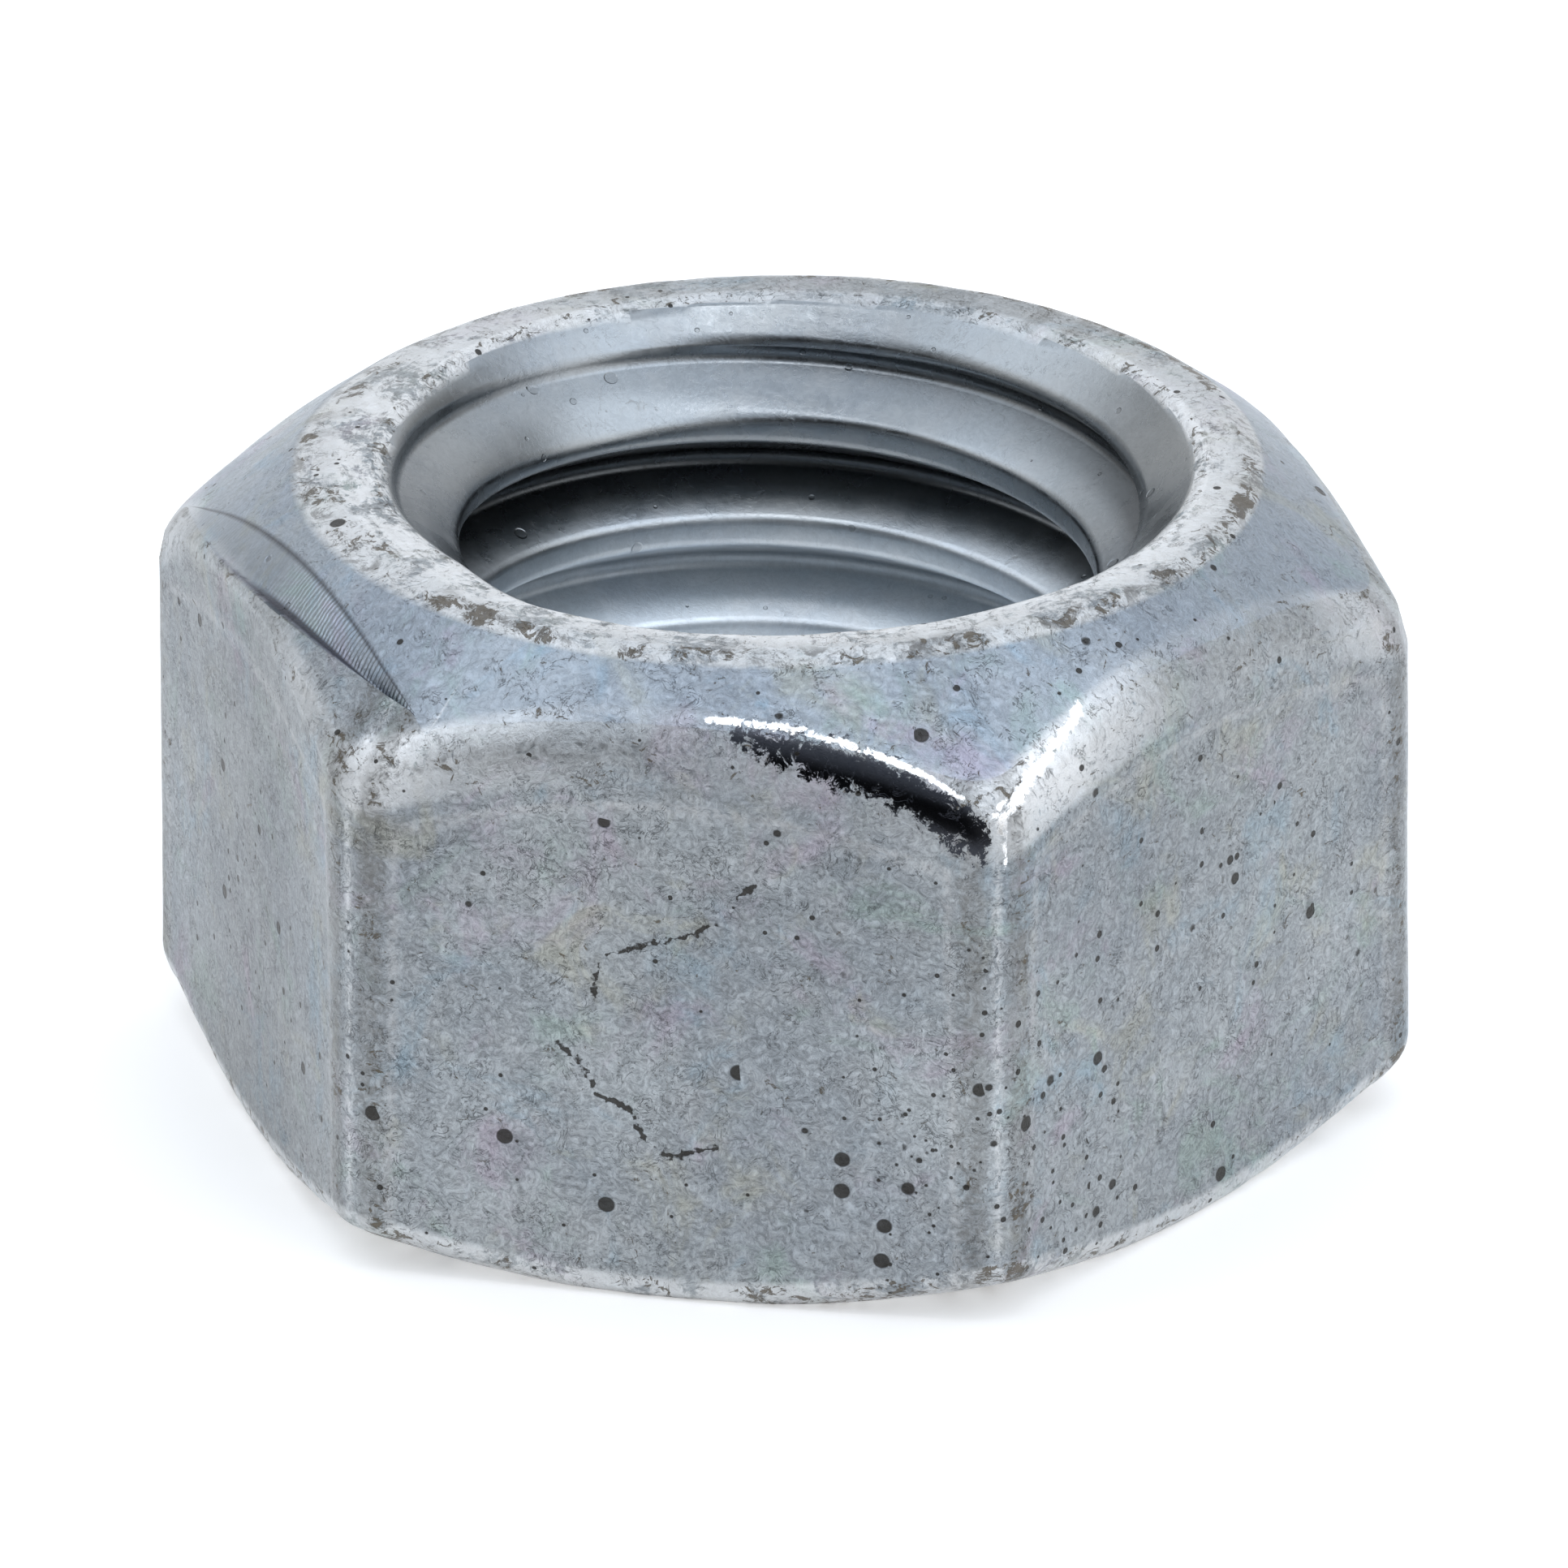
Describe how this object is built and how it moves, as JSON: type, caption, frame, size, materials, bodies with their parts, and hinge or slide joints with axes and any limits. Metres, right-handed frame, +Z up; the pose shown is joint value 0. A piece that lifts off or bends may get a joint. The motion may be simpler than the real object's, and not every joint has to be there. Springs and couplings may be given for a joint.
{
  "type": "hex nut",
  "caption": "Zinc-plated steel hex nut, chamfered at both ends, with a countersunk right-hand coarse threaded bore that screws onto a bolt and a lens-shaped die mark in the top chamfer.",
  "frame": {"origin": "centre of the bottom bearing face, on the thread axis", "axes": "+Z up along the thread axis to the face with the large chamfer, flats face +Y and -Y, corners on +X and -X"},
  "size_m": [0.0218, 0.019, 0.0111],
  "materials": {
    "zinc_steel": "bright zinc plating, satin, faintly iridescent, with small dark pits"
  },
  "bodies": {
    "root": {"nut_body": "zinc_steel"}
  },
  "joints": []
}
